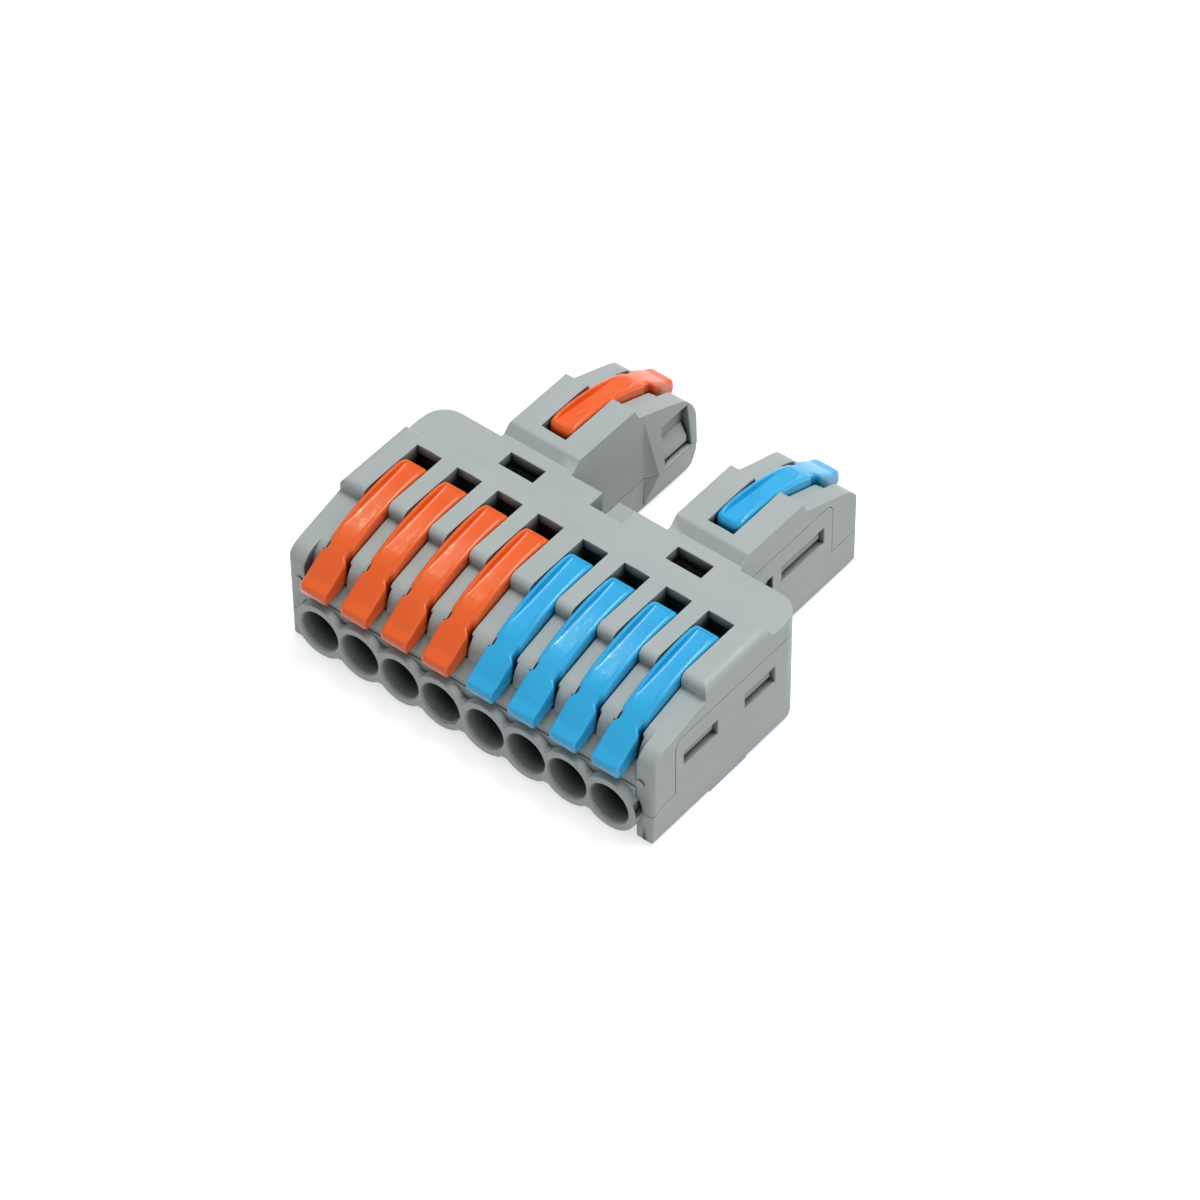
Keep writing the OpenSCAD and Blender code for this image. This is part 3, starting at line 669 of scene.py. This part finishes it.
class Tree:  # a geometry node tree under construction
    def __init__(self, name, sizes):
        self.group = bpy.data.node_groups.new(name, "GeometryNodeTree")
        self.sockets = {}
        sides = self.group.interface
        for label, value in sizes.items():
            kind = "NodeSocketVector" if isinstance(value, tuple) else "NodeSocketFloat"
            self.sockets[label] = sides.new_socket(label, in_out="INPUT", socket_type=kind)
        self.sockets["Material"] = sides.new_socket("Material", in_out="INPUT",
                                                    socket_type="NodeSocketMaterial")
        sides.new_socket("Geometry", in_out="OUTPUT", socket_type="NodeSocketGeometry")
        self.start = self.group.nodes.new("NodeGroupInput")

    def size(self, label):
        return self.start.outputs[label]

    def node(self, kind, settings, inputs, output=0):
        made = self.group.nodes.new(kind)
        for key, value in settings.items():
            setattr(made, key, value)
        for key, value in inputs.items():
            if isinstance(value, bpy.types.NodeSocket):
                self.group.links.new(value, made.inputs[key])
            else:
                made.inputs[key].default_value = value
        return made.outputs[output]

    def sum(self, operation, first, second=0.0):
        return self.node("ShaderNodeMath", {"operation": operation}, {0: first, 1: second})

    def finish(self, shape):
        whole = self.node("GeometryNodeRealizeInstances", {}, {"Geometry": shape})
        coloured = self.node("GeometryNodeSetMaterial", {},
                             {"Geometry": whole, "Material": self.size("Material")})
        end = self.group.nodes.new("NodeGroupOutput")
        self.group.links.new(coloured, end.inputs[0])

    def grow(self, name, material, sizes):  # runs the tree and gives back a plain mesh
        carrier = bpy.data.objects.new(name + "_carrier", bpy.data.meshes.new(name))
        bpy.context.scene.collection.objects.link(carrier)
        run = carrier.modifiers.new("nodes", "NODES")
        run.node_group = self.group
        for label, value in sizes.items():
            run[self.sockets[label].identifier] = value
        run[self.sockets["Material"].identifier] = material
        mesh = baked(carrier)
        bpy.data.objects.remove(carrier)
        bm = bmesh.new()
        bm.from_mesh(mesh)
        bmesh.ops.remove_doubles(bm, verts=bm.verts, dist=0.001 * mm)
        bmesh.ops.recalc_face_normals(bm, faces=bm.faces)
        crispJoin(bm, math.radians(35))
        bm.to_mesh(mesh)
        bm.free()
        mesh.name = name
        return mesh


def springTree():  # a strip along a foot, a loop and a leg, laid out flat and then stood up
    tree = Tree("clamp spring", {**springLook, "Place": (0, 0, 0), "Facing": 1.0})
    foot, leg, radius = tree.size("Foot"), tree.size("Leg"), tree.size("Loop radius")
    start = tree.sum("RADIANS", tree.size("Loop start"))
    turn = tree.sum("RADIANS", tree.size("Loop turn"))
    loop = tree.sum("MULTIPLY", turn, radius)
    whole = tree.sum("ADD", tree.sum("ADD", foot, loop), leg)
    points = 120
    line = tree.node("GeometryNodeMeshLine", {}, {"Count": points})
    index = tree.node("GeometryNodeInputIndex", {}, {})
    along = tree.sum("MULTIPLY", tree.sum("DIVIDE", index, float(points - 1)), whole)
    onFoot = tree.sum("MINIMUM", along, foot)
    onLoop = tree.sum("MINIMUM", tree.sum("MAXIMUM", tree.sum("SUBTRACT", along, foot), 0.0), loop)
    onLeg = tree.sum("MAXIMUM", tree.sum("SUBTRACT", tree.sum("SUBTRACT", along, foot), loop), 0.0)
    angle = tree.sum("SUBTRACT", start, tree.sum("DIVIDE", onLoop, radius))
    end = tree.sum("SUBTRACT", start, turn)
    footLeft = tree.sum("SUBTRACT", foot, onFoot)

    def place(curve, footTrend, legTrend):
        onCircle = tree.sum("MULTIPLY", radius, tree.sum(curve, angle))
        footPart = tree.sum("MULTIPLY", footLeft, footTrend)
        return tree.sum("ADD", tree.sum("ADD", onCircle, footPart), tree.sum("MULTIPLY", onLeg, legTrend))

    across = place("COSINE", tree.sum("MULTIPLY", tree.sum("SINE", start), -1.0), tree.sum("SINE", end))
    upward = place("SINE", tree.sum("COSINE", start), tree.sum("MULTIPLY", tree.sum("COSINE", end), -1.0))
    path = tree.node("ShaderNodeCombineXYZ", {}, {"X": across, "Y": upward})
    laid = tree.node("GeometryNodeSetPosition", {}, {"Geometry": line, "Position": path})
    curve = tree.node("GeometryNodeMeshToCurve", {}, {"Mesh": laid})
    flat = tree.node("GeometryNodeSetCurveNormal", {"mode": "Z_UP"}, {"Curve": curve})
    outline = tree.node("GeometryNodeCurvePrimitiveQuadrilateral", {},
                        {"Width": tree.size("Strip thickness"), "Height": tree.size("Strip width")})
    outline = tree.node("GeometryNodeFilletCurve", {"mode": "POLY"},
                        {"Curve": outline, "Count": 3, "Radius": tree.size("Edge round")})
    strip = tree.node("GeometryNodeCurveToMesh", {},
                      {"Curve": flat, "Profile Curve": outline, "Fill Caps": True})
    parts = tree.group.nodes.new("ShaderNodeSeparateXYZ")
    tree.group.links.new(tree.node("GeometryNodeInputPosition", {}, {}), parts.inputs[0])
    forward = tree.sum("MULTIPLY", parts.outputs["X"], tree.size("Facing"))
    stood = tree.node("ShaderNodeCombineXYZ", {},
                      {"X": parts.outputs["Z"], "Y": forward, "Z": parts.outputs["Y"]})
    small = tree.node("ShaderNodeVectorMath", {"operation": "SCALE"}, {0: stood, "Scale": mm})
    moved = tree.node("ShaderNodeVectorMath", {"operation": "ADD"}, {0: small, 1: tree.size("Place")})
    tree.finish(tree.node("GeometryNodeSetPosition", {}, {"Geometry": strip, "Position": moved}))
    return tree


clampSpring = springTree()
for leverNode, joint in joints.items():
    node = leverNode.replace("lever", "spring")
    facing = 1 if node.startswith("input") else -1
    pivot = joint["pos_m"]
    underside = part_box("busbar_orange")[0][2] - floorUnderBusbar
    centre = (pivot[0], pivot[1] + facing * springCentre[0] * mm, underside + springCentre[1] * mm)
    sizes = {**springLook, "Place": centre, "Facing": float(facing)}
    mesh = clampSpring.grow(node + "_strip", materials["steel"], sizes)
    spring = newPiece(node + "_strip", mesh, materials["steel"], "housing")
    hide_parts(node)
    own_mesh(spring)
print("springs wound,", len(mesh.vertices), "points each")


# ejector marks on the front of both cheeks: a flat ring with a shallow dimple
pinLook = {"Radius": 0.42, "Rim": 0.1, "Height": 0.07}
pinPlaces = ((-23.3, 9.3), (23.2, 8.9))  # across and up
cheekFront = -22.8


def pinTree():
    tree = Tree("ejector mark", {**pinLook, "Place": (0, 0, 0)})
    wide, rim, high = tree.size("Radius"), tree.size("Rim"), tree.size("Height")
    ring = tree.node("GeometryNodeCurvePrimitiveCircle", {}, {"Resolution": 40, "Radius": wide}, "Curve")
    lip = tree.node("GeometryNodeCurvePrimitiveCircle", {}, {"Resolution": 12, "Radius": rim}, "Curve")
    edge = tree.node("GeometryNodeCurveToMesh", {}, {"Curve": ring, "Profile Curve": lip})
    ball = tree.node("GeometryNodeMeshUVSphere", {}, {"Segments": 40, "Rings": 20, "Radius": wide}, "Mesh")
    flatter = tree.node("ShaderNodeCombineXYZ", {},
                        {"X": 1.0, "Y": 1.0, "Z": tree.sum("DIVIDE", rim, wide)})
    dome = tree.node("GeometryNodeTransform", {}, {"Geometry": ball, "Scale": flatter})
    joined = tree.group.nodes.new("GeometryNodeJoinGeometry")
    for part in (edge, dome):
        tree.group.links.new(part, joined.inputs[0])
    lower = tree.sum("MULTIPLY", tree.sum("DIVIDE", high, rim), mm)
    squashed = tree.node("ShaderNodeCombineXYZ", {}, {"X": mm, "Y": mm, "Z": lower})
    small = tree.node("GeometryNodeTransform", {}, {"Geometry": joined.outputs[0], "Scale": squashed})
    turned = tree.node("GeometryNodeTransform", {},
                       {"Geometry": small, "Rotation": (math.pi / 2, 0, 0),
                        "Translation": tree.size("Place")})
    tree.finish(turned)
    return tree


ejectorMark = pinTree()
for side, (across, up) in zip(("left", "right"), pinPlaces):
    place = (across * mm, cheekFront * mm, up * mm)
    mesh = ejectorMark.grow("ejector_mark_" + side, materials["housing"], {**pinLook, "Place": place})
    newPiece("ejector_mark_" + side, mesh, materials["housing"], "housing")
print("ejector marks raised")


# stage, camera and lights

view = {"azimuth": 39.29, "elevation": 46.18, "roll": -0.66, "distance": 0.5918, "lens": 165.8,
        "target": Vector((2.02, -3.04, 6.5)) * mm}


def addCamera(view):
    azimuth, elevation, roll = (math.radians(view[key]) for key in ("azimuth", "elevation", "roll"))
    level = math.cos(elevation)
    back = Vector((math.sin(azimuth) * level, -math.cos(azimuth) * level, math.sin(elevation)))
    right = Vector((math.cos(azimuth), math.sin(azimuth), 0))
    turn = Matrix.Rotation(roll, 3, back)
    right = turn @ right
    up = back.cross(right)
    data = bpy.data.cameras.new("camera")
    data.lens = view["lens"]
    data.sensor_width = 36
    data.clip_start = 0.01
    made = bpy.data.objects.new("camera", data)
    turned = Matrix((right, up, back)).transposed().to_4x4()
    made.matrix_world = Matrix.Translation(view["target"] + back * view["distance"]) @ turned
    bpy.context.scene.collection.objects.link(made)
    bpy.context.scene.camera = made


lights = {
    "key": {"place": (0.1, 0.22, 0.66), "size": 0.4, "power": 3.6},
    "fill": {"place": (0.6, -0.28, 0.3), "size": 0.5, "power": 0.35},
}
skyStrength = 0.47


def addArea(name, place, size, power):  # a soft light that looks at the part
    data = bpy.data.lights.new(name, "AREA")
    data.shape = "DISK"
    data.size = size
    data.energy = power
    made = bpy.data.objects.new(name, data)
    made.location = place
    made.rotation_euler = (-Vector(place)).to_track_quat("-Z", "Y").to_euler()
    bpy.context.scene.collection.objects.link(made)


def addFloor():
    data = bpy.data.meshes.new("floor")
    size = 6
    corners = [(-size, -size, 0), (size, -size, 0), (size, size, 0), (-size, size, 0)]
    data.from_pydata(corners, [], [(0, 1, 2, 3)])
    made = bpy.data.objects.new("floor", data)
    finish = Finish("floor_paper", Specular_IOR_Level=0.1, Roughness=0.9,
                    Emission_Color=(1, 1, 1, 1), Emission_Strength=0.6)
    cloud = finish.noise(finish.place(), 3, 2)
    finish.feed("Base Color", finish.tint(cloud, paint((0.90, 0.90, 0.90)), paint((0.93, 0.93, 0.93))))
    data.materials.append(finish.material)
    made.visible_diffuse = False  # the studio light reaches the part from below too
    bpy.context.scene.collection.objects.link(made)


addCamera(view)
addFloor()
for lightName, light in lights.items():
    addArea(lightName, **light)
world = bpy.data.worlds.new("studio")
bpy.context.scene.world = world
world.use_nodes = True
world.node_tree.nodes["Background"].inputs["Color"].default_value = (1, 1, 1, 1)
world.node_tree.nodes["Background"].inputs["Strength"].default_value = skyStrength
bpy.context.scene.view_settings.view_transform = "Standard"
print("stage set")
